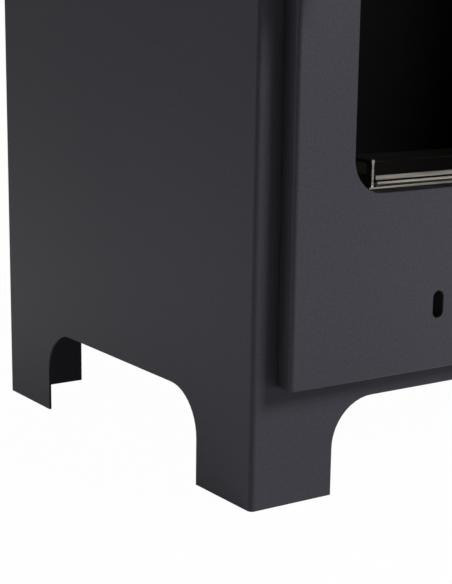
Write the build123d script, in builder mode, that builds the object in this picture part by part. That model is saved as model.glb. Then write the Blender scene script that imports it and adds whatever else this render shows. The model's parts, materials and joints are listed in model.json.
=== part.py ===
from build123d import *
import math
import os

# Freestanding bioethanol fireplace in folded sheet steel, millimetres.
# X runs left to right, the front faces -Y, Z is up and the floor is z = 0.

# Outer body
body_width = 500.0
body_depth = 290.0
body_height = 600.0
sheet = 1.5
thin_sheet = 1.0
bend_radius = 3.0
leg_width = 55.0
leg_height = 55.0
arch_radius = 27.5
back_leg_width = 52.2

# Door plate
door_side_margin = 15.8
door_bottom = 68.0
door_top_margin = 15.8
door_stand_off = 12.9
door_gap = 0.8
door_corner_radius = 3.0
door_bend_radius = 2.4
window_side = 39.2
window_rise = 104.3
window_head = 45.0
window_radius = 20.0
stiffener_inset = 2.0
stiffener_width = 10.0
stiffener_depth = 7.0
slot_width = 8.0
slot_height = 16.0
slot_rise = 38.0
slot_inset = 102.7
slot_count = 12

# Openings in the front frame behind the door
throat_margin = 5.0
throat_radius = 10.0
air_inlet_height = 28.0
air_inlet_overrun = 9.0

# Hinges
hinge_inset = 6.0
hinge_pin_diameter = 4.0
hinge_running_clearance = 0.05
hinge_swing_clearance = 0.3
bush_wall = 0.95
bush_flange_diameter = 9.0
bush_flange_thickness = 1.0
bush_sleeve_length = 4.0
bracket_sheet = 3.0
bracket_width = 30.0
bracket_leaf_height = 11.0
bracket_screw_spacing = 18.0
bracket_corner = 2.0
hinge_pin_head_diameter = 7.0
hinge_pin_head_height = 1.5
hinge_pin_reach = 7.0

# Handle
handle_rise = 282.0
handle_inset = 20.0
handle_length = 120.0
handle_width = 12.0
handle_thickness = 10.0
handle_post_diameter = 8.0
handle_post_length = 25.0
handle_post_end = 12.0
handle_thread = 4.0
handle_thread_depth = 7.0
handle_edge_radius = 2.0

# Magnetic catch and bumpers
catch_inset = 9.0
catch_width = 10.0
catch_height = 48.0
catch_depth = 9.6
magnet_width = 6.0
magnet_height = 24.0
magnet_proud = 0.6
magnet_depth = 5.0
strike_sheet = 1.0
catch_screw_spacing = 36.0
catch_screw_length = 12.0
counterbore_diameter = 8.4
counterbore_depth = 3.2
strike_height = 30.0
bumper_diameter = 9.0
bumper_inset = 12.0
bumper_end = 22.0
seat_clearance = 0.2

# Firebox lining
firebox_side_gap = 44.0
firebox_rear_gap = 54.5
firebox_top_gap = 28.0
firebox_base = 130.0
firebox_flange = 14.0
firebox_floor_top = 150.0
firebox_bend_radius = 2.5
lining_screw_inset = 6.0
lining_screw_end = 27.0
lining_screw_rows = 4
lining_clearance = 0.2
tray_flange = 18.0
tray_bend_radius = 2.5
floor_hole_diameter = 8.0
floor_hole_pitch = 24.0
floor_hole_count = 13
floor_hole_margin = 25.0
floor_cutout_clearance = 3.0
rivet_margin = 45.0
roof_slot_width = 8.0
roof_slot_length = 60.0
roof_slot_pitch = 24.0
roof_slot_count = 14

# Heat shield behind the firebox
shield_gap = 22.0
shield_side_inset = 6.0
shield_top_inset = 22.0
shield_base = 140.0
shield_post_diameter = 10.0
shield_post_margin_x = 50.0
shield_post_margin_z = 60.0

# Base plate, rear rails and top plate
base_plate_height = 74.0
base_flange = 12.0
base_clearance = 0.2
base_slot_pitch = 30.0
base_slot_count = 12
base_slot_length = 40.0
base_slot_width = 8.0
base_slot_rear_gap = 31.5
rail_width = 15.0
rail_bottom = 92.0
rail_top_gap = 12.0
top_flange_width = 15.0
stud_diameter = 5.0
stud_length = 14.0
stud_nut_across_flats = 8.0
stud_nut_height = 4.0
stud_inset_x = 9.0
stud_inset_y = 32.0
top_slot_length = 60.0
top_slot_pitch = 24.0
top_slot_count = 14
top_slot_width = 8.0
top_edge_radius = 0.6
back_vent_count = 14
back_vent_pitch = 24.0
back_vent_length = 40.0
back_vent_width = 6.0
back_clearance = 0.2
back_vent_low = 110.0
back_vent_top_gap = 60.0
back_screw_rows = 4
back_screw_end = 30.0

# Burner and its cradle
burner_setback = 60.0
burner_length = 241.0
burner_depth = 112.0
flange_sheet = 1.5
tank_wall = 1.2
tank_height = 60.0
tank_overhang_x = 14.5
tank_overhang_y = 14.0
flange_top = 165.7
gasket_thickness = 1.0
gasket_inset = 1.5
ledge_sheet = 1.2
ledge_side = 6.6
ledge_front = 2.5
skirt_inset = 8.0
tank_clearance = 1.0
tank_corner_radius = 6.0
flange_corner_radius = 2.0
end_plate_sheet = 1.5
end_plate_gap = 1.6
end_plate_top = 179.1
hand_hole_margin = 5.1
hand_hole_rim = 2.4
hand_hole_height = 8.5
hand_hole_radius = 1.5
end_plate_bead = 1.15
end_plate_foot = 11.0
end_foot_margin = 10.0
end_screw_margin = 22.0
slot_clearance = 0.1
mouth_length = 168.0
mouth_depth = 36.0
mouth_setback = 41.6
lid_top = 169.5
lid_lip_height = 2.6
lid_sheet = 1.2
lid_depth = 52.0
tongue_width = 24.0
tongue_drop = 8.0
tongue_clearance = 0.4
runner_width = 8.0
runner_margin = 4.0
runner_setback = 12.0
hook_hole_diameter = 10.0
hook_hole_setback = 12.0
wool_clearance = 0.3
wool_height = 34.0
retainer_sheet = 0.8
retainer_hole = 6.0
retainer_pitch = 12.0
retainer_margin = 8.0

# Fasteners
screw_diameter = 4.0
screw_head_diameter = 7.6
screw_head_height = 2.4
screw_head_round = 1.1
screw_length = 8.0
nut_across_flats = 7.0
nut_height = 3.2
rivet_diameter = 3.2
rivet_head_diameter = 6.5
rivet_head_height = 1.0
hole_clearance = 0.25

# Places worked out from the sizes
half_width = body_width / 2
front_overhang = door_stand_off + handle_post_length + handle_thickness
front_y = (front_overhang - body_depth - screw_head_height) / 2
back_y = front_y + body_depth
shell_top = body_height - sheet
door_half = half_width - door_side_margin
door_top = body_height - door_top_margin
door_face_y = front_y - door_stand_off
door_inner_y = door_face_y + sheet
door_rear_y = front_y - door_gap
window_half = door_half - window_side
window_bottom = door_bottom + window_rise
window_top = door_top - window_head
slot_z = door_bottom + slot_rise
slot_span = 2 * (door_half - slot_inset)
slot_pitch = slot_span / (slot_count - 1)
throat_half = window_half + throat_margin
throat_bottom = window_bottom - 2 * throat_margin
throat_top = window_top + 2 * throat_margin
hinge_x = door_half - hinge_inset
hinge_y = front_y - door_stand_off / 2 - door_gap / 2
bush_sleeve_radius = hinge_pin_diameter / 2 + bush_wall
firebox_half = half_width - firebox_side_gap
firebox_y = front_y + sheet
firebox_back = back_y - firebox_rear_gap
firebox_top = body_height - firebox_top_gap
burner_front = front_y + burner_setback
burner_middle = burner_front + burner_depth / 2
burner_half = burner_length / 2
tank_half = burner_half - tank_overhang_x
tank_half_depth = burner_depth / 2 - tank_overhang_y
tank_bottom = flange_top - tank_height
gasket_top = flange_top - flange_sheet
ledge_top = gasket_top - gasket_thickness
ledge_bottom = ledge_top - ledge_sheet
ledge_half = burner_half + ledge_side
ledge_depth = burner_depth + 2 * ledge_front
end_plate_inner = burner_half + end_plate_gap
mouth_front = burner_front + mouth_setback
mouth_back = mouth_front + mouth_depth
tongue_y = mouth_front + tongue_clearance
lid_travel = mouth_depth - 2 * tongue_clearance - lid_sheet

os.makedirs("parts", exist_ok=True)


def save(piece, name):
    """Labels one finished piece and writes it as its own STEP file."""
    piece.label = name
    export_step(piece, f"parts/{name}.step")


def centred(low, high):
    """Middle of a span."""
    return (low + high) / 2


def front_plane(y):
    """Sketch plane facing the front: its X is X and its Y is Z."""
    return Plane(origin=(0, y, 0), x_dir=(1, 0, 0), z_dir=(0, -1, 0))


def side_plane(x):
    """Sketch plane facing the right: its X is Y and its Y is Z."""
    return Plane(origin=(x, 0, 0), x_dir=(0, 1, 0), z_dir=(1, 0, 0))


def arch(span, height):
    """Outline between two legs, from below the floor up to a rounded head."""
    Rectangle(span, 2 * height)
    fillet(vertices().group_by(Axis.Y)[-1], arch_radius)


def slot_row(count, pitch, length, width):
    """Row of slots along X, each running along Y."""
    with GridLocations(pitch, 0, count, 1):
        SlotOverall(length, width, rotation=90)


def pan_screws(places, direction, length=screw_length):
    """Pan-head screws: places are under the heads, direction is the way the shanks point."""
    with BuildPart() as screws:
        for place in places:
            seat = Plane(origin=place, z_dir=direction)
            with BuildSketch(seat):
                Circle(screw_diameter / 2)
            extrude(amount=length)
            with BuildSketch(seat):
                Circle(screw_head_diameter / 2)
            extrude(amount=-screw_head_height)
            crown = Vector(place) - Vector(direction) * screw_head_height
            rims = screws.edges().filter_by(GeomType.CIRCLE)
            fillet(rims.sort_by(lambda rim: (rim.arc_center - crown).length)[:1], screw_head_round)
    return screws.part


def hex_nuts(places, direction, bore=screw_diameter, flats=nut_across_flats, height=nut_height):
    """Hex nuts: places are their seats, direction points away from the clamped sheet."""
    with BuildPart() as nuts:
        for place in places:
            with BuildSketch(Plane(origin=place, z_dir=direction)):
                RegularPolygon(flats / 2, 6, major_radius=False)
                Circle(bore / 2, mode=Mode.SUBTRACT)
            extrude(amount=height)
    return nuts.part


def front_holes(places, diameter):
    """Round holes along Y through whatever sheet stands at the places."""
    for x, y, z in places:
        with BuildSketch(front_plane(y)) as hole:
            with Locations((x, z)):
                Circle(diameter / 2)
        extrude(hole.sketch, amount=2 * sheet, both=True, mode=Mode.SUBTRACT)


def tray(half, front, back, base, height, wall, open_up):
    """Folded tray with a flange on all four sides, open upwards or downwards."""
    with BuildSketch(Plane.XY.offset(base)) as outline:
        with Locations((0, centred(front, back))):
            RectangleRounded(2 * half, back - front, tray_bend_radius)
    extrude(outline.sketch, amount=height)
    mouth = faces().sort_by(Axis.Z)[-1 if open_up else 0]
    offset(amount=-wall, openings=mouth)


# Where the fasteners stand
screw_hole = screw_diameter + 2 * hole_clearance
stud_places = [
    (x, y)
    for x in (stud_inset_x - half_width, half_width - stud_inset_x)
    for y in (front_y + stud_inset_y, back_y - stud_inset_y)
]
lining_screw_x = firebox_half + firebox_flange - lining_screw_inset
lining_screw_low = firebox_floor_top + lining_screw_end
lining_screw_step = (firebox_top - lining_screw_end - lining_screw_low) / (lining_screw_rows - 1)
lining_screw_places = [
    (turn * lining_screw_x, front_y, lining_screw_low + row * lining_screw_step)
    for turn in (-1, 1)
    for row in range(lining_screw_rows)
]
catch_x = catch_inset - door_half
handle_z = door_bottom + handle_rise
catch_screw_y = front_y - catch_depth + counterbore_depth
catch_screw_places = [
    (catch_x, catch_screw_y, handle_z + turn * catch_screw_spacing / 2) for turn in (-1, 1)
]
lower_lug_top = door_bottom - bush_flange_thickness
upper_lug_bottom = door_top + bush_flange_thickness
bracket_screw_rise = bracket_leaf_height - screw_head_diameter / 2
lower_hinge_screws = [
    (x, front_y - bracket_sheet, lower_lug_top - bracket_screw_rise)
    for x in (hinge_x - bracket_screw_spacing / 2, hinge_x + bracket_screw_spacing / 2)
]
upper_hinge_screws = [
    (x, y, upper_lug_bottom + bracket_screw_rise) for x, y, z in lower_hinge_screws
]
rail_y = back_y - thin_sheet
rail_x = half_width - sheet
back_screw_x = rail_x - rail_width / 2
back_screw_low = rail_bottom + back_screw_end
back_screw_step = (shell_top - rail_top_gap - back_screw_end - back_screw_low) / (back_screw_rows - 1)
back_screw_places = [
    (turn * back_screw_x, back_y, back_screw_low + row * back_screw_step)
    for turn in (-1, 1)
    for row in range(back_screw_rows)
]
shield_half = firebox_half - shield_side_inset
shield_height = firebox_top - shield_top_inset - shield_base
shield_middle_z = shield_base + shield_height / 2
shield_post_x = shield_half - shield_post_margin_x
shield_post_rise = shield_height / 2 - shield_post_margin_z
shield_post_places = [
    (x, firebox_back, shield_middle_z + turn * shield_post_rise)
    for x in (-shield_post_x, shield_post_x)
    for turn in (-1, 1)
]
cradle_screw_x = end_plate_inner - end_plate_foot / 2
cradle_screw_places = [
    (x, burner_middle + turn * (burner_depth / 2 - end_screw_margin), firebox_floor_top)
    for x in (-cradle_screw_x, cradle_screw_x)
    for turn in (-1, 1)
]
handle_x = handle_inset - door_half
handle_post_rise = handle_length / 2 - handle_post_end
handle_screw_places = [
    (handle_x, door_inner_y, handle_z + turn * handle_post_rise) for turn in (-1, 1)
]

# Body shell: left side, front frame and right side bent from one sheet
side_top = shell_top - 2 * bend_radius
with BuildPart() as body_shell:
    with BuildSketch():
        with BuildLine():
            FilletPolyline(
                (-half_width, back_y),
                (-half_width, front_y),
                (half_width, front_y),
                (half_width, back_y),
                radius=bend_radius,
            )
            offset(amount=sheet, side=Side.LEFT)
        make_face()
    extrude(amount=side_top)
    # The front strip runs on up to the top plate
    with BuildSketch(front_plane(front_y)):
        with Locations((0, centred(side_top, shell_top))):
            Rectangle(body_width - 2 * bend_radius, shell_top - side_top)
    extrude(amount=-sheet)
    # Each side ends in a flange bent inwards under the top plate
    for turn in (-1, 1):
        with BuildSketch(front_plane(front_y + 2 * bend_radius)):
            with BuildLine():
                FilletPolyline(
                    (turn * half_width, side_top),
                    (turn * half_width, shell_top),
                    (turn * (half_width - top_flange_width), shell_top),
                    radius=bend_radius,
                )
                offset(amount=sheet, side=Side.RIGHT if turn < 0 else Side.LEFT)
            make_face()
        extrude(amount=-(body_depth - 2 * bend_radius - thin_sheet - back_clearance))
    with BuildSketch(front_plane(front_y)):
        arch(body_width - 2 * leg_width, leg_height)
    extrude(amount=2 * sheet, both=True, mode=Mode.SUBTRACT)
    with BuildSketch(side_plane(0)):
        with Locations((centred(front_y, back_y), 0)):
            arch(body_depth - 2 * leg_width, leg_height)
    extrude(amount=body_width, both=True, mode=Mode.SUBTRACT)
    # Throat behind the window and air inlet behind the slots
    with BuildSketch(front_plane(front_y)):
        with Locations((0, centred(throat_bottom, throat_top))):
            RectangleRounded(2 * throat_half, throat_top - throat_bottom, throat_radius)
        with Locations((0, slot_z)):
            SlotOverall(slot_span + slot_width + 2 * air_inlet_overrun, air_inlet_height)
    extrude(amount=2 * sheet, both=True, mode=Mode.SUBTRACT)
    # Holes for the studs, the lining, the hinges and the catch
    with BuildSketch(Plane.XY.offset(shell_top)):
        with Locations(*stud_places):
            Circle(stud_diameter / 2 + hole_clearance)
    extrude(amount=-2 * sheet, mode=Mode.SUBTRACT)
    front_holes(lining_screw_places, screw_hole)
    threaded_places = lower_hinge_screws + upper_hinge_screws + catch_screw_places
    front_holes([(x, front_y, z) for x, y, z in threaded_places], screw_diameter)
save(body_shell.part, "body_shell")

# Base plate: a tray above the legs, with slots that feed air behind the firebox
with BuildPart() as base_plate:
    tray(
        half_width - sheet - base_clearance,
        front_y + sheet + base_clearance,
        rail_y - base_clearance,
        base_plate_height,
        sheet + base_flange,
        sheet,
        True,
    )
    with BuildSketch(Plane.XY.offset(base_plate_height)):
        with Locations((0, back_y - base_slot_rear_gap)):
            slot_row(base_slot_count, base_slot_pitch, base_slot_length, base_slot_width)
    extrude(amount=sheet, mode=Mode.SUBTRACT)
save(base_plate.part, "base_plate")

# Rear rails: angles inside the sides that the back panel is screwed to
for turn, name in ((-1, "rear_rail_left"), (1, "rear_rail_right")):
    with BuildPart() as rear_rail:
        with BuildSketch(Plane.XY.offset(rail_bottom)):
            with BuildLine():
                FilletPolyline(
                    (turn * rail_x, rail_y - rail_width),
                    (turn * rail_x, rail_y),
                    (turn * (rail_x - rail_width), rail_y),
                    radius=bend_radius,
                )
                offset(amount=sheet, side=Side.RIGHT if turn < 0 else Side.LEFT)
            make_face()
        extrude(amount=shell_top - rail_top_gap - rail_bottom)
        front_holes([place for place in back_screw_places if place[0] * turn > 0], screw_diameter)
    save(rear_rail.part, name)

# Back panel: thin sheet between the sides, with its own pair of legs
back_half = rail_x - back_clearance
with BuildPart() as back_panel:
    with BuildSketch(front_plane(back_y)):
        with Locations((0, shell_top / 2)):
            Rectangle(2 * back_half, shell_top)
    extrude(amount=thin_sheet)
    with BuildSketch(front_plane(back_y)):
        arch(2 * (back_half - back_leg_width), leg_height)
    extrude(amount=thin_sheet, mode=Mode.SUBTRACT)
    with BuildSketch(front_plane(back_y)):
        for height in (back_vent_low, body_height - back_vent_top_gap):
            with Locations((0, height)):
                slot_row(back_vent_count, back_vent_pitch, back_vent_length, back_vent_width)
    extrude(amount=thin_sheet, mode=Mode.SUBTRACT)
    front_holes(back_screw_places, screw_hole)
save(back_panel.part, "back_panel")
save(pan_screws(back_screw_places, (0, -1, 0)), "back_panel_screws")

# Top plate with its warm-air slots, its welded studs and their nuts
with BuildPart() as top_plate:
    with BuildSketch(Plane.XY.offset(shell_top)):
        with Locations((0, centred(front_y, back_y))):
            Rectangle(body_width, body_depth)
        fillet(vertices().group_by(Axis.Y)[0], bend_radius)
    extrude(amount=sheet)
    fillet(faces().sort_by(Axis.Z)[-1].edges(), top_edge_radius)
    with BuildSketch(Plane.XY.offset(shell_top)):
        with Locations((0, centred(firebox_y, firebox_back))):
            slot_row(top_slot_count, top_slot_pitch, top_slot_length, top_slot_width)
    extrude(amount=sheet, mode=Mode.SUBTRACT)
save(top_plate.part, "top_plate")

with BuildPart() as top_plate_studs:
    with BuildSketch(Plane.XY.offset(shell_top)):
        with Locations(*stud_places):
            Circle(stud_diameter / 2)
    extrude(amount=-stud_length)
save(top_plate_studs.part, "top_plate_studs")

stud_nut_places = [(x, y, shell_top - sheet) for x, y in stud_places]
stud_nuts = hex_nuts(
    stud_nut_places, (0, 0, -1), stud_diameter, stud_nut_across_flats, stud_nut_height
)
save(stud_nuts, "top_plate_nuts")

# Firebox lining: two sides and the back bent from one sheet, with flanges behind the front frame
rivet_rows = (firebox_y + rivet_margin, firebox_back - rivet_margin)
floor_rivet_z = firebox_floor_top - tray_flange / 2
roof_rivet_z = firebox_top - tray_flange / 2
rivet_spots = [(y, z) for y in rivet_rows for z in (floor_rivet_z, roof_rivet_z)]
with BuildPart() as firebox_wrap:
    with BuildSketch(Plane.XY.offset(firebox_base)):
        with BuildLine():
            FilletPolyline(
                (-firebox_half - firebox_flange, firebox_y),
                (-firebox_half, firebox_y),
                (-firebox_half, firebox_back),
                (firebox_half, firebox_back),
                (firebox_half, firebox_y),
                (firebox_half + firebox_flange, firebox_y),
                radius=firebox_bend_radius,
            )
            offset(amount=thin_sheet, side=Side.LEFT)
        make_face()
    extrude(amount=firebox_top - firebox_base)
    front_holes([(x, firebox_y, z) for x, y, z in lining_screw_places], screw_hole)
    front_holes(shield_post_places, screw_hole)
    with BuildSketch(side_plane(0)):
        with Locations(*rivet_spots):
            Circle(rivet_diameter / 2)
    extrude(amount=body_width, both=True, mode=Mode.SUBTRACT)
save(firebox_wrap.part, "firebox_wrap")
save(pan_screws(lining_screw_places, (0, 1, 0)), "firebox_screws")
lining_nut_places = [(x, firebox_y + thin_sheet, z) for x, y, z in lining_screw_places]
save(hex_nuts(lining_nut_places, (0, 1, 0)), "firebox_nuts")

tray_half = firebox_half - lining_clearance
tray_front = firebox_y + lining_clearance
tray_back = firebox_back - lining_clearance
with BuildPart() as firebox_floor:
    tray(tray_half, tray_front, tray_back, firebox_floor_top - tray_flange, tray_flange, sheet, False)
    with BuildSketch(Plane.XY.offset(firebox_floor_top)):
        with Locations((0, burner_middle)):
            Rectangle(
                2 * (tank_half + floor_cutout_clearance),
                2 * (tank_half_depth + floor_cutout_clearance),
            )
        for row in (tray_front + floor_hole_margin, tray_back - floor_hole_margin):
            with Locations((0, row)):
                with GridLocations(floor_hole_pitch, 0, floor_hole_count, 1):
                    Circle(floor_hole_diameter / 2)
        with Locations(*[(x, y) for x, y, z in cradle_screw_places]):
            Circle(screw_hole / 2)
    extrude(amount=-sheet, mode=Mode.SUBTRACT)
    with BuildSketch(side_plane(0)):
        with Locations(*[(y, floor_rivet_z) for y in rivet_rows]):
            Circle(rivet_diameter / 2)
    extrude(amount=body_width, both=True, mode=Mode.SUBTRACT)
save(firebox_floor.part, "firebox_floor")

roof_base = firebox_top - tray_flange
with BuildPart() as firebox_roof:
    tray(tray_half, tray_front, tray_back, roof_base, tray_flange, sheet, True)
    with BuildSketch(Plane.XY.offset(roof_base)):
        with Locations((0, centred(firebox_y, firebox_back))):
            slot_row(roof_slot_count, roof_slot_pitch, roof_slot_length, roof_slot_width)
    extrude(amount=sheet, mode=Mode.SUBTRACT)
    with BuildSketch(side_plane(0)):
        with Locations(*[(y, roof_rivet_z) for y in rivet_rows]):
            Circle(rivet_diameter / 2)
    extrude(amount=body_width, both=True, mode=Mode.SUBTRACT)
save(firebox_roof.part, "firebox_roof")

# Rivets that hold the floor and the roof in the lining, heads outside
with BuildPart() as lining_rivets:
    for turn in (-1, 1):
        with BuildSketch(side_plane(turn * (firebox_half + thin_sheet))):
            with Locations(*rivet_spots):
                Circle(rivet_head_diameter / 2)
        extrude(amount=turn * rivet_head_height)
        with BuildSketch(side_plane(turn * (firebox_half + thin_sheet))):
            with Locations(*rivet_spots):
                Circle(rivet_diameter / 2)
        extrude(amount=-turn * (thin_sheet + lining_clearance + sheet))
save(lining_rivets.part, "lining_rivets")

# Heat shield on posts behind the firebox
shield_front = firebox_back + thin_sheet + shield_gap
with BuildPart() as heat_shield:
    with BuildSketch(front_plane(shield_front)):
        with Locations((0, shield_middle_z)):
            RectangleRounded(2 * shield_half, shield_height, bend_radius)
    extrude(amount=-thin_sheet)
    front_holes([(x, shield_front, z) for x, y, z in shield_post_places], screw_hole)
save(heat_shield.part, "heat_shield")

with BuildPart() as shield_posts:
    with BuildSketch(front_plane(firebox_back + thin_sheet)):
        with Locations(*[(x, z) for x, y, z in shield_post_places]):
            Circle(shield_post_diameter / 2)
            Circle(screw_hole / 2, mode=Mode.SUBTRACT)
    extrude(amount=-shield_gap)
save(shield_posts.part, "shield_posts")
shield_screw_length = 2 * thin_sheet + shield_gap + nut_height
save(pan_screws(shield_post_places, (0, 1, 0), shield_screw_length), "shield_screws")
shield_nut_places = [(x, shield_front + thin_sheet, z) for x, y, z in shield_post_places]
save(hex_nuts(shield_nut_places, (0, 1, 0)), "shield_nuts")

# Cradle: a ledge frame on two skirts, held between two upright end plates
with BuildPart() as cradle_frame:
    with BuildSketch(Plane.XY.offset(ledge_bottom)):
        with Locations((0, burner_middle)):
            Rectangle(2 * ledge_half, ledge_depth)
            Rectangle(
                2 * (tank_half + tank_clearance),
                2 * (tank_half_depth + tank_clearance),
                mode=Mode.SUBTRACT,
            )
        for turn in (-1, 1):
            with Locations((turn * (end_plate_inner + end_plate_sheet / 2), burner_middle)):
                Rectangle(
                    end_plate_sheet + 2 * slot_clearance,
                    burner_depth + 2 * slot_clearance,
                    mode=Mode.SUBTRACT,
                )
    extrude(amount=ledge_sheet)
    with BuildSketch(Plane.XY.offset(firebox_floor_top)):
        for turn in (-1, 1):
            with Locations((0, burner_middle + turn * (ledge_depth / 2 - skirt_inset - ledge_sheet / 2))):
                Rectangle(2 * (end_plate_inner - slot_clearance), ledge_sheet)
    extrude(amount=ledge_bottom - firebox_floor_top)
save(cradle_frame.part, "cradle_frame")

for turn, name in ((-1, "cradle_end_left"), (1, "cradle_end_right")):
    inner = turn * end_plate_inner
    hole_top = end_plate_top - hand_hole_rim
    with BuildPart() as cradle_end:
        with BuildSketch(side_plane(inner)):
            with Locations((burner_middle, centred(firebox_floor_top, end_plate_top))):
                Rectangle(burner_depth, end_plate_top - firebox_floor_top)
            with Locations((burner_middle, hole_top - hand_hole_height / 2)):
                RectangleRounded(
                    burner_depth - 2 * hand_hole_margin,
                    hand_hole_height,
                    hand_hole_radius,
                    mode=Mode.SUBTRACT,
                )
        extrude(amount=turn * end_plate_sheet)
        # Rolled safety bead along the top edge
        bead_centre = (inner + turn * end_plate_sheet / 2, end_plate_top - end_plate_bead)
        with BuildSketch(front_plane(burner_front)):
            with Locations(bead_centre):
                Circle(end_plate_bead)
        extrude(amount=-burner_depth)
        # Foot turned in under the tank's end
        with BuildSketch(Plane.XY.offset(firebox_floor_top)):
            with Locations((inner - turn * end_plate_foot / 2, burner_middle)):
                Rectangle(end_plate_foot, burner_depth - 2 * end_foot_margin)
            with Locations(*[(x, y) for x, y, z in cradle_screw_places if x * turn > 0]):
                Circle(screw_hole / 2, mode=Mode.SUBTRACT)
        extrude(amount=end_plate_sheet)
    save(cradle_end.part, name)

cradle_head_places = [(x, y, z + end_plate_sheet) for x, y, z in cradle_screw_places]
save(pan_screws(cradle_head_places, (0, 0, -1)), "cradle_screws")
cradle_nut_places = [(x, y, z - sheet) for x, y, z in cradle_screw_places]
save(hex_nuts(cradle_nut_places, (0, 0, -1)), "cradle_nuts")

# Burner: flanged tank with wool under a perforated sheet, and a lid that slides on two runners
with BuildPart() as burner_gasket:
    with BuildSketch(Plane.XY.offset(ledge_top)):
        with Locations((0, burner_middle)):
            Rectangle(burner_length - 2 * gasket_inset, burner_depth - 2 * gasket_inset)
            Rectangle(
                2 * (tank_half + tank_clearance),
                2 * (tank_half_depth + tank_clearance),
                mode=Mode.SUBTRACT,
            )
    extrude(amount=gasket_thickness)
save(burner_gasket.part, "burner_gasket")

with BuildPart() as burner_tank:
    with BuildSketch(Plane.XY.offset(tank_bottom)):
        with Locations((0, burner_middle)):
            RectangleRounded(2 * tank_half, 2 * tank_half_depth, tank_corner_radius)
    extrude(amount=gasket_top - tank_bottom)
    with BuildSketch(Plane.XY.offset(gasket_top)):
        with Locations((0, burner_middle)):
            RectangleRounded(burner_length, burner_depth, flange_corner_radius)
    extrude(amount=flange_sheet)
    with BuildSketch(Plane.XY.offset(tank_bottom + tank_wall)):
        with Locations((0, burner_middle)):
            RectangleRounded(
                2 * (tank_half - tank_wall),
                2 * (tank_half_depth - tank_wall),
                tank_corner_radius - tank_wall,
            )
    extrude(amount=gasket_top - tank_bottom - tank_wall, mode=Mode.SUBTRACT)
    with BuildSketch(Plane.XY.offset(gasket_top)):
        with Locations((0, centred(mouth_front, mouth_back))):
            Rectangle(mouth_length, mouth_depth)
    extrude(amount=flange_sheet, mode=Mode.SUBTRACT)
save(burner_tank.part, "burner_tank")

wool_half = tank_half - tank_wall - wool_clearance
wool_half_depth = tank_half_depth - tank_wall - wool_clearance
wool_top = tank_bottom + tank_wall + wool_height
with BuildPart() as burner_wool:
    with BuildSketch(Plane.XY.offset(tank_bottom + tank_wall)):
        with Locations((0, burner_middle)):
            RectangleRounded(2 * wool_half, 2 * wool_half_depth, tank_corner_radius)
    extrude(amount=wool_height)
save(burner_wool.part, "burner_wool")

retainer_columns = int(2 * (wool_half - retainer_margin) / retainer_pitch)
retainer_rows = int(2 * (wool_half_depth - retainer_margin) / retainer_pitch)
with BuildPart() as wool_retainer:
    with BuildSketch(Plane.XY.offset(wool_top)):
        with Locations((0, burner_middle)):
            RectangleRounded(2 * wool_half, 2 * wool_half_depth, tank_corner_radius)
            with GridLocations(retainer_pitch, retainer_pitch, retainer_columns, retainer_rows):
                Circle(retainer_hole / 2, mode=Mode.SUBTRACT)
    extrude(amount=retainer_sheet)
save(wool_retainer.part, "wool_retainer")

# Runners welded under the lid, which slide on the flange beside the mouth
runner_x = mouth_length / 2 + runner_margin + runner_width / 2
runner_front = burner_front + runner_setback
runner_back = burner_front + lid_depth - runner_margin
with BuildPart() as lid_runners:
    with BuildSketch(Plane.XY.offset(flange_top)):
        for x in (-runner_x, runner_x):
            with Locations((x, centred(runner_front, runner_back))):
                Rectangle(runner_width, runner_back - runner_front)
    extrude(amount=lid_top - lid_sheet - flange_top)
save(lid_runners.part, "lid_runners")

with BuildPart() as burner_lid:
    with BuildSketch(side_plane(-burner_half)):
        with BuildLine():
            Polyline(
                (burner_front, lid_top - lid_lip_height),
                (burner_front, lid_top),
                (burner_front + lid_depth, lid_top),
                (burner_front + lid_depth, lid_top - lid_sheet),
                (burner_front + lid_sheet, lid_top - lid_sheet),
                (burner_front + lid_sheet, lid_top - lid_lip_height),
                close=True,
            )
        make_face()
    extrude(amount=burner_length)
    with BuildSketch(Plane.XY.offset(lid_top)):
        with Locations((0, burner_front + hook_hole_setback)):
            Circle(hook_hole_diameter / 2)
    extrude(amount=-lid_sheet, mode=Mode.SUBTRACT)
save(burner_lid.part, "burner_lid")

# Tongues welded under the lid: they hang in the mouth, guide the lid and stop it at both ends
tongue_top = lid_top - lid_sheet
tongue_x = mouth_length / 2 - tongue_clearance - tongue_width / 2
with BuildPart() as lid_tongues:
    for x in (-tongue_x, tongue_x):
        with BuildSketch(side_plane(x - tongue_width / 2)):
            with BuildLine():
                Polyline(
                    (tongue_y + lid_sheet, tongue_top),
                    (tongue_y + lid_sheet, tongue_top - tongue_drop),
                    (tongue_y, tongue_top - tongue_drop),
                    (tongue_y, tongue_top - lid_sheet),
                    (tongue_y - tongue_drop, tongue_top - lid_sheet),
                    (tongue_y - tongue_drop, tongue_top),
                    close=True,
                )
            make_face()
        extrude(amount=tongue_width)
save(lid_tongues.part, "lid_tongues")

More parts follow.
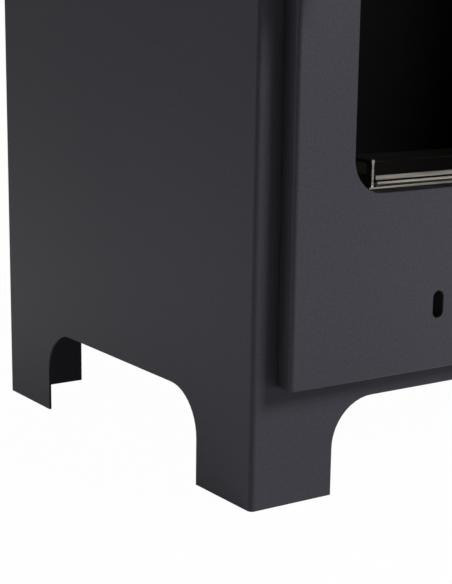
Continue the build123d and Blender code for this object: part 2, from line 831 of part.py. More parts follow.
# Door plate: a shallow pan folded towards the body, with the window and the air slots
door_middle_z = centred(door_bottom, door_top)
swing_radius = front_y - hinge_y - hinge_swing_clearance
relief_y = hinge_y + math.sqrt(swing_radius**2 - hinge_inset**2)
relief_start = math.sqrt(swing_radius**2 - (door_rear_y - hinge_y) ** 2)
with BuildPart() as door_panel:
    with BuildSketch(front_plane(door_rear_y)):
        with Locations((0, door_middle_z)):
            RectangleRounded(2 * door_half, door_top - door_bottom, door_corner_radius)
    extrude(amount=door_stand_off - door_gap)
    fillet(faces().sort_by(Axis.Y)[0].edges(), door_bend_radius)
    offset(amount=-sheet, openings=faces().sort_by(Axis.Y)[-1])
    with BuildSketch(front_plane(door_face_y)):
        with Locations((0, centred(window_bottom, window_top))):
            RectangleRounded(2 * window_half, window_top - window_bottom, window_radius)
        with Locations((0, slot_z)):
            slot_row(slot_count, slot_pitch, slot_height, slot_width)
    extrude(amount=-2 * sheet, mode=Mode.SUBTRACT)
    # The hinge side is cut back so that its edge clears the body as the door swings
    with BuildSketch(front_plane(door_rear_y)):
        with Locations((centred(hinge_x + relief_start, half_width), door_middle_z)):
            Rectangle(half_width - hinge_x - relief_start, body_height)
    extrude(amount=door_rear_y - relief_y, mode=Mode.SUBTRACT)
    with BuildSketch(Plane.XY.offset(door_bottom)):
        with Locations((hinge_x, hinge_y)):
            Circle(bush_sleeve_radius)
    extrude(amount=door_top - door_bottom, mode=Mode.SUBTRACT)
    front_holes(handle_screw_places, screw_hole)
save(door_panel.part, "door_panel")

# Stiffening frame spot-welded round the window on the inside
window_width = 2 * window_half
window_height = window_top - window_bottom
stiffener_outer = 2 * (stiffener_inset + stiffener_width)
with BuildPart() as door_stiffener:
    with BuildSketch(front_plane(door_inner_y)):
        with Locations((0, centred(window_bottom, window_top))):
            RectangleRounded(
                window_width + stiffener_outer,
                window_height + stiffener_outer,
                window_radius + stiffener_inset + stiffener_width,
            )
            RectangleRounded(
                window_width + 2 * stiffener_inset,
                window_height + 2 * stiffener_inset,
                window_radius + stiffener_inset,
                mode=Mode.SUBTRACT,
            )
    extrude(amount=-thin_sheet)
    with BuildSketch(front_plane(door_inner_y)):
        with Locations((0, centred(window_bottom, window_top))):
            RectangleRounded(
                window_width + stiffener_outer,
                window_height + stiffener_outer,
                window_radius + stiffener_inset + stiffener_width,
            )
            RectangleRounded(
                window_width + stiffener_outer - 2 * thin_sheet,
                window_height + stiffener_outer - 2 * thin_sheet,
                window_radius + stiffener_inset + stiffener_width - thin_sheet,
                mode=Mode.SUBTRACT,
            )
    extrude(amount=-stiffener_depth)
save(door_stiffener.part, "door_stiffener")

# Hinges: fixed brackets above and below the door, pins in their lugs, flanged bushes in the door
bracket_lugs = (
    ("lower", lower_lug_top, -1, lower_hinge_screws),
    ("upper", upper_lug_bottom, 1, upper_hinge_screws),
)
for name, lug_face, turn, screw_places in bracket_lugs:
    with BuildPart() as hinge_bracket:
        with BuildSketch(front_plane(front_y)):
            with Locations((hinge_x, lug_face + turn * bracket_leaf_height / 2)):
                Rectangle(bracket_width, bracket_leaf_height)
        extrude(amount=bracket_sheet)
        with BuildSketch(Plane.XY.offset(lug_face)):
            with Locations((hinge_x, front_y - door_stand_off / 2)):
                Rectangle(bracket_width, door_stand_off)
            fillet(vertices().group_by(Axis.Y)[0], bracket_corner)
        extrude(amount=turn * bracket_sheet)
        with BuildSketch(Plane.XY.offset(lug_face)):
            with Locations((hinge_x, hinge_y)):
                Circle(hinge_pin_diameter / 2)
        extrude(amount=turn * bracket_sheet, mode=Mode.SUBTRACT)
        front_holes(screw_places, screw_diameter)
    save(hinge_bracket.part, f"hinge_bracket_{name}")

    with BuildPart() as hinge_pin:
        with BuildSketch(Plane.XY.offset(lug_face + turn * bracket_sheet)):
            with Locations((hinge_x, hinge_y)):
                Circle(hinge_pin_head_diameter / 2)
        extrude(amount=turn * hinge_pin_head_height)
        with BuildSketch(Plane.XY.offset(lug_face + turn * bracket_sheet)):
            with Locations((hinge_x, hinge_y)):
                Circle(hinge_pin_diameter / 2)
        extrude(amount=-turn * (bracket_sheet + hinge_pin_reach))
    save(hinge_pin.part, f"hinge_pin_{name}")

    with BuildPart() as hinge_bush:
        with BuildSketch(Plane.XY.offset(lug_face)):
            with Locations((hinge_x, hinge_y)):
                Circle(bush_flange_diameter / 2)
        extrude(amount=-turn * bush_flange_thickness)
        with BuildSketch(Plane.XY.offset(lug_face)):
            with Locations((hinge_x, hinge_y)):
                Circle(bush_sleeve_radius)
        extrude(amount=-turn * (bush_flange_thickness + bush_sleeve_length))
        with BuildSketch(Plane.XY.offset(lug_face)):
            with Locations((hinge_x, hinge_y)):
                Circle(hinge_pin_diameter / 2 + hinge_running_clearance)
        extrude(amount=-turn * (bush_flange_thickness + bush_sleeve_length), mode=Mode.SUBTRACT)
    save(hinge_bush.part, f"hinge_bush_{name}")
save(pan_screws(lower_hinge_screws + upper_hinge_screws, (0, 1, 0)), "hinge_screws")

# Handle: a bar on two posts, screwed on from inside the door
with BuildPart() as handle_posts:
    with BuildSketch(front_plane(door_face_y)):
        with Locations(*[(x, z) for x, y, z in handle_screw_places]):
            Circle(handle_post_diameter / 2)
    extrude(amount=handle_post_length)
    with BuildSketch(front_plane(door_face_y)):
        with Locations(*[(x, z) for x, y, z in handle_screw_places]):
            Circle(handle_thread / 2)
    extrude(amount=handle_thread_depth, mode=Mode.SUBTRACT)
save(handle_posts.part, "handle_posts")

with BuildPart() as handle_grip:
    with BuildSketch(front_plane(door_face_y - handle_post_length)):
        with Locations((handle_x, handle_z)):
            Rectangle(handle_width, handle_length)
    extrude(amount=handle_thickness)
    fillet(edges(), handle_edge_radius)
save(handle_grip.part, "handle_grip")
save(pan_screws(handle_screw_places, (0, -1, 0)), "handle_screws")

# Magnetic catch on the body and its strike plate on the door
with BuildPart() as catch_housing:
    with BuildSketch(front_plane(front_y)):
        with Locations((catch_x, handle_z)):
            RectangleRounded(catch_width, catch_height, bracket_corner)
    extrude(amount=catch_depth)
    catch_front = front_y - catch_depth
    with BuildSketch(front_plane(catch_front)):
        with Locations((catch_x, handle_z)):
            Rectangle(magnet_width, magnet_height)
    extrude(amount=-magnet_depth, mode=Mode.SUBTRACT)
    with BuildSketch(front_plane(catch_front)):
        with Locations(*[(x, z) for x, y, z in catch_screw_places]):
            Circle(counterbore_diameter / 2)
    extrude(amount=-counterbore_depth, mode=Mode.SUBTRACT)
    with BuildSketch(front_plane(catch_front)):
        with Locations(*[(x, z) for x, y, z in catch_screw_places]):
            Circle(screw_diameter / 2)
    extrude(amount=-catch_depth, mode=Mode.SUBTRACT)
save(catch_housing.part, "catch_housing")

with BuildPart() as catch_magnet:
    with BuildSketch(front_plane(catch_front + magnet_depth)):
        with Locations((catch_x, handle_z)):
            Rectangle(magnet_width, magnet_height)
    extrude(amount=magnet_depth + magnet_proud)
save(catch_magnet.part, "catch_magnet")
save(pan_screws(catch_screw_places, (0, 1, 0), catch_screw_length), "catch_screws")

with BuildPart() as strike_plate:
    with BuildSketch(front_plane(door_inner_y)):
        with Locations((catch_x, handle_z)):
            RectangleRounded(catch_width, strike_height, bracket_corner)
    extrude(amount=-strike_sheet)
save(strike_plate.part, "strike_plate")

# Bumpers that the free side of the door closes against
bumper_x = bumper_inset - door_half
with BuildPart() as door_bumpers:
    with BuildSketch(front_plane(front_y)):
        with Locations((bumper_x, door_bottom + bumper_end), (bumper_x, door_top - bumper_end)):
            Circle(bumper_diameter / 2)
    extrude(amount=front_y - door_inner_y - seat_clearance)
save(door_bumpers.part, "door_bumpers")

print("lid travel", round(lid_travel, 2), "hinge at", round(hinge_x, 2), round(hinge_y, 2))
print("front y", front_y, "back y", back_y, "burner front y", burner_front)
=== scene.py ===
import json
import math

import bmesh
import bpy
from mathutils import Matrix, Vector, noise

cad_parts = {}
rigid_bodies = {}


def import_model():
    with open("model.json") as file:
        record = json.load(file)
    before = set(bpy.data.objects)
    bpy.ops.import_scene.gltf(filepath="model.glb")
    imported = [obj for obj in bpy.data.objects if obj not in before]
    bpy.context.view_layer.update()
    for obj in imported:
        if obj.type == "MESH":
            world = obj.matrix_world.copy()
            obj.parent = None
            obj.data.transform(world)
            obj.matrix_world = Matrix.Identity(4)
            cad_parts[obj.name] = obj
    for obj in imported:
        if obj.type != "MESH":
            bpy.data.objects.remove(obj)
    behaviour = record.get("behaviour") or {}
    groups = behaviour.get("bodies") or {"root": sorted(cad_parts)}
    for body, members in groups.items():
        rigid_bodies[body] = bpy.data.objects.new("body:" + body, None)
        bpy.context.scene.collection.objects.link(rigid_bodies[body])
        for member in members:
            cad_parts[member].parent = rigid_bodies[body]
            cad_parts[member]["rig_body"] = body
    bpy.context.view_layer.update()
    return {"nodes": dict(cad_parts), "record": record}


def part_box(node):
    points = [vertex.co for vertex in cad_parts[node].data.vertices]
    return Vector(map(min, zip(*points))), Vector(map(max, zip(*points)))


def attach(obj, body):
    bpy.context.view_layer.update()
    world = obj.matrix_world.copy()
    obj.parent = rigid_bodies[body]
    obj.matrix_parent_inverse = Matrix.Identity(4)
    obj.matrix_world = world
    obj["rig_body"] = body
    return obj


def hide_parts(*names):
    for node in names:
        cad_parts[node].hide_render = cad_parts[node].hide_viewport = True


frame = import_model()
nodes = frame["nodes"]
print("frame loaded,", len(nodes), "nodes")


def hexToLinear(text):
    # sRGB hex to the linear values that shaders work in
    channels = [int(text[i:i + 2], 16) / 255 for i in (1, 3, 5)]
    linear = [c / 12.92 if c <= 0.04045 else ((c + 0.055) / 1.055) ** 2.4 for c in channels]
    return (*linear, 1.0)


def grey(value):
    return (value, value, value, 1.0)


def addNode(tree, kind, settings, **links):
    # settings go to the node's sockets or, failing that, to its own properties
    node = tree.nodes.new(kind)
    for name, value in settings.items():
        if name in node.inputs:
            node.inputs[name].default_value = value
        else:
            setattr(node, name, value)
    for name, source in links.items():
        tree.links.new(source, node.inputs[name.replace("_", " ")])
    return node


def mathOf(tree, operation, first, second):
    # either side is a socket or a plain number
    node = addNode(tree, "ShaderNodeMath", {"operation": operation})
    for socket, value in zip(node.inputs, (first, second)):
        if isinstance(value, (int, float)):
            socket.default_value = value
        else:
            tree.links.new(value, socket)
    return node.outputs["Value"]


def rangeOf(tree, value, toMin, toMax, fromMin=0.0, fromMax=1.0):
    node = addNode(tree, "ShaderNodeMapRange", {
        "From Min": fromMin, "From Max": fromMax, "To Min": toMin, "To Max": toMax}, Value=value)
    return node.outputs["Result"]


def noiseOf(tree, place, perMetre, detail, roughness=0.5):
    settings = {"Scale": perMetre, "Detail": detail, "Roughness": roughness}
    return addNode(tree, "ShaderNodeTexNoise", settings, Vector=place).outputs["Fac"]


def blendOf(tree, factor, low, high, lowAt=0.3, highAt=0.7):
    node = addNode(tree, "ShaderNodeValToRGB", {}, Fac=factor)
    for element, position, colour in zip(node.color_ramp.elements, (lowAt, highAt), (low, high)):
        element.position = position
        element.color = colour
    return node.outputs["Color"]


def hexBlend(tree, factor, look, lowAt=0.3, highAt=0.7):
    return blendOf(tree, factor, hexToLinear(look["dark"]), hexToLinear(look["light"]), lowAt, highAt)


def reliefOf(tree, height, strength, depthMm):
    node = addNode(tree, "ShaderNodeBump", {"Strength": strength, "Distance": depthMm / 1000}, Height=height)
    return node.outputs["Normal"]


def startMaterial(name):
    material = bpy.data.materials.new(name)
    material.use_nodes = True
    material.node_tree.nodes.clear()
    return material, material.node_tree


def shade(tree, material, settings, **links):
    shader = addNode(tree, "ShaderNodeBsdfPrincipled", settings, **links)
    output = addNode(tree, "ShaderNodeOutputMaterial", {})
    tree.links.new(shader.outputs["BSDF"], output.inputs["Surface"])
    return material


# Polyester powder coat, fine texture, sprayed and baked: a dull charcoal skin with a tiny, even
# grain and soft, cool highlights on the bends. The real grain of 0.3 mm is drawn at about 1 mm to show.
powderCoatLook = {
    "dark": "#37363c", "light": "#414046", "darkAt": 0.35, "lightAt": 0.65,
    "grainMm": 1.1, "grainFade": 0.55, "cloudMm": 160, "cloudShare": 0.25,
    "reliefMm": 0.06, "reliefStrength": 0.5,
    "roughness": 0.46, "specular": 0.22, "sheen": "#e6e2ff",
}


def powderCoat(look):
    material, tree = startMaterial("powder_coat_charcoal")
    place = addNode(tree, "ShaderNodeTexCoord", {}).outputs["Object"]
    grain = noiseOf(tree, place, 1000 / look["grainMm"], 2.0, look["grainFade"])
    cloud = noiseOf(tree, place, 1000 / look["cloudMm"], 1.0)
    mixed = mathOf(tree, "ADD", mathOf(tree, "MULTIPLY", cloud, look["cloudShare"]),
                   mathOf(tree, "MULTIPLY", grain, 1 - look["cloudShare"]))
    settings = {"Roughness": look["roughness"], "IOR": 1.5, "Specular IOR Level": look["specular"],
                "Specular Tint": hexToLinear(look["sheen"])}
    return shade(tree, material, settings,
                 Base_Color=hexBlend(tree, mixed, look, look["darkAt"], look["lightAt"]),
                 Normal=reliefOf(tree, grain, look["reliefStrength"], look["reliefMm"]))


# Heat-resistant stove paint, rolled on sheet: matt, sooty black that gives back almost nothing.
stovePaintLook = {
    "dark": "#060606", "light": "#0b0a0a", "patchMm": 25, "grainMm": 1.5,
    "reliefMm": 0.04, "reliefStrength": 0.3, "roughness": 0.86, "specular": 0.12,
}


def stovePaint(look):
    material, tree = startMaterial("stove_paint_black")
    place = addNode(tree, "ShaderNodeTexCoord", {}).outputs["Object"]
    patch = noiseOf(tree, place, 1000 / look["patchMm"], 4.0)
    grain = noiseOf(tree, place, 1000 / look["grainMm"], 1.0)
    return shade(tree, material, {"Roughness": look["roughness"], "Specular IOR Level": look["specular"]},
                 Base_Color=hexBlend(tree, patch, look),
                 Normal=reliefOf(tree, grain, look["reliefStrength"], look["reliefMm"]))


# Stainless sheet, belt-brushed along its length: warm grey metal, streaked along X, with a faint
# straw tint where it was heated. The sheet is bright and mirrors the dark firebox; the front edges
# are linished, so light spreads across them and they shine.
stainlessLook = {
    "dark": "#8f8983", "light": "#d0cbc4", "tint": "#b39b7c",
    "streakMm": 0.5, "streakLengthMm": 30, "heatsPerMetre": 70.0, "heatShare": 0.5,
    "reliefMm": 0.03, "reliefStrength": 0.35,
    "sheetRoughness": 0.15, "edgeRoughness": 0.34, "roughnessSpread": 0.1,
    "sheetStretch": 0.1, "edgeStretch": 0.52,
    "edgeFrontMm": -61.5, "edgeFacing": -0.7, "edgePaintedShade": 0.9,
}


def brushedStainless(look):
    material, tree = startMaterial("stainless_brushed")
    place = addNode(tree, "ShaderNodeTexCoord", {})
    fine, coarse = 1000 / look["streakMm"], 1000 / look["streakLengthMm"]
    streakPlace = addNode(tree, "ShaderNodeMapping", {"Scale": (coarse, fine, fine)},
                          Vector=place.outputs["Object"])
    streak = noiseOf(tree, streakPlace.outputs["Vector"], 1.0, 3.0)
    heat = noiseOf(tree, place.outputs["Object"], look["heatsPerMetre"], 3.0)
    heated = blendOf(tree, heat, grey(0.0), grey(look["heatShare"]), 0.55, 0.75)
    tinted = addNode(tree, "ShaderNodeMixRGB", {"Color2": hexToLinear(look["tint"])},
                     Fac=heated, Color1=hexBlend(tree, streak, look))
    # an edge lies at the front and faces the front
    where = addNode(tree, "ShaderNodeSeparateXYZ", {}, Vector=place.outputs["Object"])
    facing = addNode(tree, "ShaderNodeSeparateXYZ", {}, Vector=place.outputs["Normal"])
    edge = mathOf(tree, "MULTIPLY",
                  mathOf(tree, "LESS_THAN", where.outputs["Y"], look["edgeFrontMm"] / 1000),
                  mathOf(tree, "LESS_THAN", facing.outputs["Y"], look["edgeFacing"]))
    # the front-facing edges' colour is darkened a little: this is painted shade, not the steel's own colour
    paintedShadeColour = addNode(tree, "ShaderNodeMixRGB", {"blend_type": "MULTIPLY", "Color2": grey(look["edgePaintedShade"])},
                     Fac=edge, Color1=tinted.outputs["Color"])
    gloss = mathOf(tree, "ADD", rangeOf(tree, edge, look["sheetRoughness"], look["edgeRoughness"]),
                   mathOf(tree, "MULTIPLY", streak, look["roughnessSpread"]))
    # the brush runs along X, so light spreads across it
    brushed = addNode(tree, "ShaderNodeCombineXYZ", {"X": 1.0})
    return shade(tree, material, {"Metallic": 1.0, "Anisotropic Rotation": 0.25},
                 Base_Color=paintedShadeColour.outputs["Color"], Roughness=gloss,
                 Anisotropic=rangeOf(tree, edge, look["sheetStretch"], look["edgeStretch"]),
                 Normal=reliefOf(tree, streak, look["reliefStrength"], look["reliefMm"]),
                 Tangent=brushed.outputs["Vector"])


# Zinc-plated steel: cool, slightly blue metal with small crystals that differ a little in gloss.
zincLook = {"dark": "#8f959c", "light": "#b9bec4", "crystalMm": 6, "glossiest": 0.26, "dullest": 0.44}


def zincPlate(look):
    material, tree = startMaterial("zinc_plated_steel")
    place = addNode(tree, "ShaderNodeTexCoord", {})
    crystal = addNode(tree, "ShaderNodeTexVoronoi", {"Scale": 1000 / look["crystalMm"]},
                      Vector=place.outputs["Object"])
    single = addNode(tree, "ShaderNodeRGBToBW", {}, Color=crystal.outputs["Color"]).outputs["Val"]
    return shade(tree, material, {"Metallic": 1.0}, Base_Color=hexBlend(tree, single, look, 0.1, 0.9),
                 Roughness=rangeOf(tree, single, look["glossiest"], look["dullest"]))


# The remaining finishes are small and alike: a colour with grain, a gloss and a relief.
# Slot of the frame: the finish's name and its look
smallLooks = {
    # black oxide, oiled: near-black, a little shine on the rims
    "black_screw": ("black_oxide_steel", {
        "dark": "#121214", "light": "#1d1d20", "grainMm": 2, "roughness": 0.38, "metallic": 0.7,
        "reliefMm": 0.01}),
    # plain sintered bronze bush: dull yellow-brown with pores
    "bronze": ("sintered_bronze", {
        "dark": "#7d5a2e", "light": "#a27a44", "grainMm": 0.8, "roughness": 0.45, "metallic": 1.0,
        "reliefMm": 0.02}),
    # ceramic fibre wool, needled: matt white with loose fibres
    "fibre_wool": ("ceramic_fibre_wool", {
        "dark": "#c4bfb4", "light": "#ece9e1", "grainMm": 1.8, "roughness": 0.95, "metallic": 0.0,
        "reliefMm": 0.6}),
    # pressed fibre gasket: flecked grey
    "fibre_gasket": ("pressed_fibre_gasket", {
        "dark": "#4a4843", "light": "#706c64", "grainMm": 1.2, "roughness": 0.9, "metallic": 0.0,
        "reliefMm": 0.1}),
    # moulded silicone rubber: soft matt black
    "bumper_rubber": ("silicone_rubber_black", {
        "dark": "#161617", "light": "#202022", "grainMm": 1.5, "roughness": 0.62, "metallic": 0.0,
        "reliefMm": 0.02}),
    # moulded nylon with a spark-eroded grain
    "catch_plastic": ("moulded_nylon_black", {
        "dark": "#141415", "light": "#1f1f21", "grainMm": 0.7, "roughness": 0.5, "metallic": 0.0,
        "reliefMm": 0.03}),
    # pressed and fired ferrite: slaty, slightly shiny
    "ferrite": ("fired_ferrite", {
        "dark": "#2b2c2f", "light": "#3a3b3e", "grainMm": 0.9, "roughness": 0.4, "metallic": 0.0,
        "reliefMm": 0.02}),
}
smallReliefStrength = 0.6


def grainyFinish(name, look):
    material, tree = startMaterial(name)
    place = addNode(tree, "ShaderNodeTexCoord", {}).outputs["Object"]
    grain = noiseOf(tree, place, 1000 / look["grainMm"], 4.0)
    return shade(tree, material, {"Roughness": look["roughness"], "Metallic": look["metallic"]},
                 Base_Color=hexBlend(tree, grain, look),
                 Normal=reliefOf(tree, grain, smallReliefStrength, look["reliefMm"]))


finishes = {
    "powder_coat": powderCoat(powderCoatLook),
    "lining_paint": stovePaint(stovePaintLook),
    "stainless": brushedStainless(stainlessLook),
    "zinc_plate": zincPlate(zincLook),
}
for slotName, (finishName, look) in smallLooks.items():
    finishes[slotName] = grainyFinish(finishName, look)


def paint(piece, finish):
    if not piece.material_slots:
        piece.data.materials.append(finishes[finish])
    for materialSlot in piece.material_slots:
        materialSlot.material = finishes[finish]


for subpart in frame["record"]["subparts"]:
    paint(nodes[subpart["node"]], subpart["material_slot"])
print("materials on the frame")


def addObject(mesh, name):
    data = bpy.data.meshes.new(name)
    mesh.to_mesh(data)
    mesh.free()
    added = bpy.data.objects.new(name, data)
    bpy.context.scene.collection.objects.link(added)
    return added


def finishPiece(mesh, name, node, finish):
    # one object at the origin, standing for a CAD node and riding on its body
    piece = addObject(mesh, name)
    paint(piece, finish)
    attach(piece, nodes[node]["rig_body"])
    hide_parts(node)
    return piece


# Pan-head screws with a hex socket, in the grids that the frame's screws stand in
screwLook = {
    "headRadius": 0.0038, "headHeight": 0.0024, "headSides": 24, "round": 0.0011, "roundSteps": 4,
    "socketFlats": 0.0025, "socketDepth": 0.0013, "insetShare": 0.35,
    "shankRadius": 0.002, "shankSides": 16, "pitch": 0.0007, "rootShare": 0.86, "tipShare": 0.9,
}


def makeHead(mesh, look):
    bmesh.ops.create_cone(mesh, cap_ends=True, segments=look["headSides"], radius1=look["headRadius"],
                          radius2=look["headRadius"], depth=look["headHeight"],
                          matrix=Matrix.Translation((0, 0, look["headHeight"] / 2)))
    rim = [e for e in mesh.edges if all(v.co.z > look["headHeight"] - 1e-6 for v in e.verts)]
    bmesh.ops.bevel(mesh, geom=rim, offset=look["round"], offset_type="OFFSET", segments=look["roundSteps"],
                    profile=0.5, affect="EDGES", material=-1)
    # the crown's inner ring becomes a hexagon and sinks into a socket
    mesh.normal_update()
    crowns = [f for f in mesh.faces if len(f.verts) == look["headSides"]]
    top = max(crowns, key=lambda f: f.calc_center_median().z)
    inset = (look["headRadius"] - look["round"]) * look["insetShare"]
    bmesh.ops.inset_region(mesh, faces=[top], thickness=inset)
    for vert in top.verts:
        angle = math.atan2(vert.co.y, vert.co.x)
        reach = look["socketFlats"] / 2 / math.cos((angle % (math.pi / 3)) - math.pi / 6)
        vert.co.x, vert.co.y = reach * math.cos(angle), reach * math.sin(angle)
    sunk = bmesh.ops.extrude_discrete_faces(mesh, faces=[top])["faces"][0]
    bmesh.ops.translate(mesh, verts=sunk.verts, vec=(0, 0, -look["socketDepth"]))


def makeShank(mesh, look, length):
    # rolled thread: rings that step in and out, and a narrower tip
    verts = bmesh.ops.create_circle(mesh, segments=look["shankSides"], radius=look["shankRadius"])["verts"]
    ring = list({e for v in verts for e in v.link_edges})
    steps = max(2, int(length / look["pitch"])) * 2
    for step in range(steps):
        grown = bmesh.ops.extrude_edge_only(mesh, edges=ring)["geom"]
        verts = [g for g in grown if isinstance(g, bmesh.types.BMVert)]
        ring = [g for g in grown if isinstance(g, bmesh.types.BMEdge) and all(v in verts for v in g.verts)]
        radius = look["shankRadius"] * (look["rootShare"] if step % 2 == 0 else 1.0)
        if step == steps - 1:
            radius *= look["tipShare"]
        for vert in verts:
            flat = Vector((vert.co.x, vert.co.y, 0)).normalized() * radius
            vert.co = Vector((flat.x, flat.y, -length * (step + 1) / steps))
    bmesh.ops.contextual_create(mesh, geom=ring)


def makeScrew(look, length):
    mesh = bmesh.new()
    makeHead(mesh, look)
    makeShank(mesh, look, length)
    bmesh.ops.recalc_face_normals(mesh, faces=mesh.faces)
    screw = bpy.data.meshes.new("one_screw")
    mesh.to_mesh(screw)
    mesh.free()
    return screw


# node: finish, the axis that the heads point along, and the columns and rows of the grid
screwGroups = {
    "back_panel_screws": ("black_screw", "+Y", 2, 4),
    "firebox_screws": ("black_screw", "-Y", 2, 4),
    "shield_screws": ("black_screw", "-Y", 2, 2),
    "hinge_screws": ("black_screw", "-Y", 2, 2),
    "catch_screws": ("zinc_plate", "-Y", 1, 2),
    "handle_screws": ("zinc_plate", "+Y", 1, 2),
    "cradle_screws": ("zinc_plate", "+Z", 2, 2),
}
headTurns = {
    "+Y": Matrix.Rotation(-math.pi / 2, 4, "X"),
    "-Y": Matrix.Rotation(math.pi / 2, 4, "X"),
    "+Z": Matrix.Identity(4),
}


def spread(low, high, count):
    return [(low + high) / 2] if count == 1 else [low + (high - low) * i / (count - 1) for i in range(count)]


def screwPlaces(low, high, axis, columns, rows):
    # a screw's length below its head, and where the heads' undersides stand
    radius, height = screwLook["headRadius"], screwLook["headHeight"]
    xs = spread(low.x + radius, high.x - radius, columns)
    if axis == "+Z":
        ys = spread(low.y + radius, high.y - radius, rows)
        return high.z - low.z - height, [(x, y, high.z - height) for x in xs for y in ys]
    zs = spread(low.z + radius, high.z - radius, rows)
    seat = high.y - height if axis == "+Y" else low.y + height
    return high.y - low.y - height, [(x, seat, z) for x in xs for z in zs]


for node, (finish, axis, columns, rows) in screwGroups.items():
    low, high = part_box(node)
    length, places = screwPlaces(low, high, axis, columns, rows)
    screw = makeScrew(screwLook, length)
    mesh = bmesh.new()
    for place in places:
        already = len(mesh.verts)
        mesh.from_mesh(screw)
        mesh.verts.ensure_lookup_table()
        turned = Matrix.Translation(place) @ headTurns[axis]
        bmesh.ops.transform(mesh, matrix=turned, verts=mesh.verts[already:])
    bpy.data.meshes.remove(screw)
    finishPiece(mesh, node.replace("screws", "socket_screws"), node, finish)
print("screws made")

# Ceramic wool: a soft block that bulges and dips a little under the perforated sheet
woolLook = {
    "fit": 0.998, "cornerMm": 6, "cornerSteps": 3, "cellMm": 3.5, "topBandMm": 1,
    "dipMm": 1.4, "lumpMm": 14, "fluffMm": 0.4, "fluffLumpMm": 2.5,
}


def waviness(point, lumpMm):
    # smooth noise from 0 to 1
    return (noise.noise(point * 1000 / lumpMm) + 1) / 2


def makeWool(look, low, high):
    size, middle = high - low, (low + high) / 2
    mesh = bmesh.new()
    bmesh.ops.create_cube(mesh, size=1.0, matrix=Matrix.Translation(middle)
                          @ Matrix.Diagonal((*(size * look["fit"]), 1.0)))
    upright = [e for e in mesh.edges if abs(e.verts[0].co.z - e.verts[1].co.z) > size.z / 2]
    bmesh.ops.bevel(mesh, geom=upright, offset=look["cornerMm"] / 1000, offset_type="OFFSET",
                    segments=look["cornerSteps"], profile=0.5, affect="EDGES", material=-1)
    for axis in range(3):
        cuts = int(size[axis] / (look["cellMm"] / 1000))
        for cut in range(1, cuts):
            at, normal = Vector(low), Vector((0, 0, 0))
            at[axis] += size[axis] * cut / cuts
            normal[axis] = 1.0
            bmesh.ops.bisect_plane(mesh, geom=mesh.verts[:] + mesh.edges[:] + mesh.faces[:],
                                   plane_co=at, plane_no=normal)
    for vert in mesh.verts:
        dip = waviness(vert.co, look["lumpMm"]) * look["dipMm"] / 1000
        fluff = waviness(vert.co, look["fluffLumpMm"]) * look["fluffMm"] / 1000
        if vert.co.z > high.z - look["topBandMm"] / 1000:
            vert.co.z -= dip + fluff
        else:
            vert.co += (middle - vert.co).normalized() * fluff
    return mesh


wool = finishPiece(makeWool(woolLook, *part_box("burner_wool")), "wool_pad", "burner_wool", "fibre_wool")
for polygon in wool.data.polygons:
    polygon.use_smooth = True
print("wool made")

# Studio floor of white paper, evenly white to the eye. What reflections see of it is a painted pool of light
# that the floor gives off: a painted shadow under the object, bright beside it and fading away from it. The
# distances are in metres.
floorLook = {
    "colour": "#f2f1ef", "size": 12.0, "brightness": 0.985,
    "shade": 0.3, "shadeNear": 0.15, "shadeFar": 0.55,
    "paintedPool": 0.98, "poolRim": 0.2, "poolNear": 0.5, "poolFar": 2.2,
}


def floorPaper(look):
    material, tree = startMaterial("studio_floor_paper")
    paper = addNode(tree, "ShaderNodeBsdfDiffuse", {"Color": hexToLinear(look["colour"])})
    glow = addNode(tree, "ShaderNodeEmission", {"Color": grey(1.0), "Strength": 1.0})
    rays = addNode(tree, "ShaderNodeLightPath", {}).outputs
    place = addNode(tree, "ShaderNodeTexCoord", {})
    reach = addNode(tree, "ShaderNodeVectorMath", {"operation": "LENGTH"},
                    Vector=place.outputs["Object"]).outputs["Value"]
    # a painted pool of light times a painted shadow under the object, glowing only for reflections
    paintedPool = mathOf(tree, "MULTIPLY",
                  rangeOf(tree, reach, look["paintedPool"], look["poolRim"], look["poolNear"], look["poolFar"]),
                  rangeOf(tree, reach, look["shade"], 1.0, look["shadeNear"], look["shadeFar"]))
    direct = mathOf(tree, "MAXIMUM", rays["Is Camera Ray"], rays["Is Transmission Ray"])
    seen = mathOf(tree, "MAXIMUM", direct, mathOf(tree, "MULTIPLY", rays["Is Glossy Ray"], paintedPool))
    mix = addNode(tree, "ShaderNodeMixShader", {}, Fac=mathOf(tree, "MULTIPLY", seen, look["brightness"]))
    tree.links.new(paper.outputs["BSDF"], mix.inputs[1])
    tree.links.new(glow.outputs["Emission"], mix.inputs[2])
    output = addNode(tree, "ShaderNodeOutputMaterial", {})
    tree.links.new(mix.outputs["Shader"], output.inputs["Surface"])
    return material


floorMesh = bmesh.new()
bmesh.ops.create_grid(floorMesh, x_segments=1, y_segments=1, size=floorLook["size"] / 2)
floor = addObject(floorMesh, "floor")
floor.data.materials.append(floorPaper(floorLook))

# Studio room: white to the eye; in reflections lighter behind the object and dark behind the camera
worldLook = {"ambient": 0.03, "back": 0.4, "front": 0.04, "reach": 0.6}


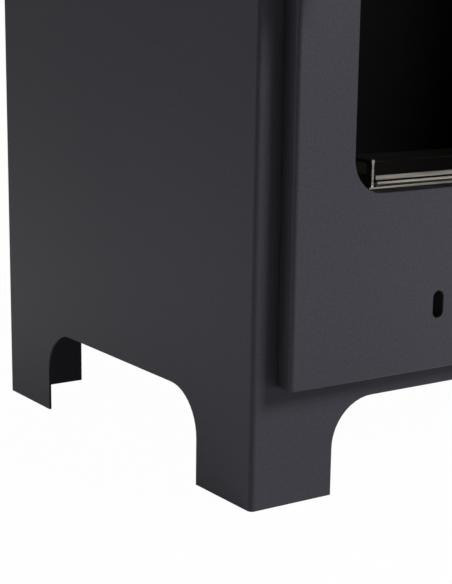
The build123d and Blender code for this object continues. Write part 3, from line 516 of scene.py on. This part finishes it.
def buildWorld(look):
    world = bpy.data.worlds.new("studio_room")
    bpy.context.scene.world = world
    world.use_nodes = True
    tree = world.node_tree
    tree.nodes.clear()
    rays = addNode(tree, "ShaderNodeLightPath", {}).outputs
    place = addNode(tree, "ShaderNodeTexCoord", {})
    toward = addNode(tree, "ShaderNodeSeparateXYZ", {}, Vector=place.outputs["Generated"])
    mirrored = rangeOf(tree, toward.outputs["Y"], look["front"], look["back"], -look["reach"], look["reach"])
    seen = mathOf(tree, "MAXIMUM", rays["Is Camera Ray"], rays["Is Transmission Ray"])
    level = addNode(tree, "ShaderNodeMixRGB", {"Color1": grey(look["ambient"])},
                    Fac=rays["Is Glossy Ray"], Color2=mirrored)
    white = addNode(tree, "ShaderNodeMixRGB", {"Color2": grey(1.0)}, Fac=seen, Color1=level.outputs["Color"])
    background = addNode(tree, "ShaderNodeBackground", {"Strength": 1.0}, Color=white.outputs["Color"])
    output = addNode(tree, "ShaderNodeOutputWorld", {})
    tree.links.new(background.outputs["Background"], output.inputs["Surface"])


buildWorld(worldLook)

# Soft boxes: where each stands, what it faces, its two sides in metres, and its power in watts
softBoxes = {
    "key_front_right": ((1.9, -2.4, 2.3), (0, -0.05, 0.3), 1.4, 1.4, 146),
    "fill_left": ((-2.2, 0.9, 0.35), (0, 0, 0.1), 1.0, 0.6, 6),
}
for name, (place, target, width, height, watts) in softBoxes.items():
    lamp = bpy.data.lights.new(name, "AREA")
    lamp.shape = "RECTANGLE"
    lamp.size, lamp.size_y, lamp.energy = width, height, watts
    stand = bpy.data.objects.new(name, lamp)
    stand.location = place
    stand.rotation_euler = (Vector(target) - Vector(place)).to_track_quat("-Z", "Y").to_euler()
    bpy.context.scene.collection.objects.link(stand)

# Camera at the photograph's view; the photograph is a crop, so the lens is shifted as the crop is
cameraLook = {
    "place": (-0.7105, -0.7781, 0.2941), "turnDegrees": (76.102, -1.109, -35.245),
    "lens": 95.61, "sensor": 36, "shift": (-0.0668, 0.0871),
}
cameraData = bpy.data.cameras.new("camera")
cameraData.sensor_width = cameraLook["sensor"]
cameraData.lens = cameraLook["lens"]
cameraData.shift_x, cameraData.shift_y = cameraLook["shift"]
camera = bpy.data.objects.new("camera", cameraData)
camera.location = cameraLook["place"]
camera.rotation_euler = [math.radians(degrees) for degrees in cameraLook["turnDegrees"]]
bpy.context.scene.collection.objects.link(camera)
bpy.context.scene.camera = camera
bpy.context.scene.view_settings.view_transform = "Standard"
print("stage, lamps and camera set")
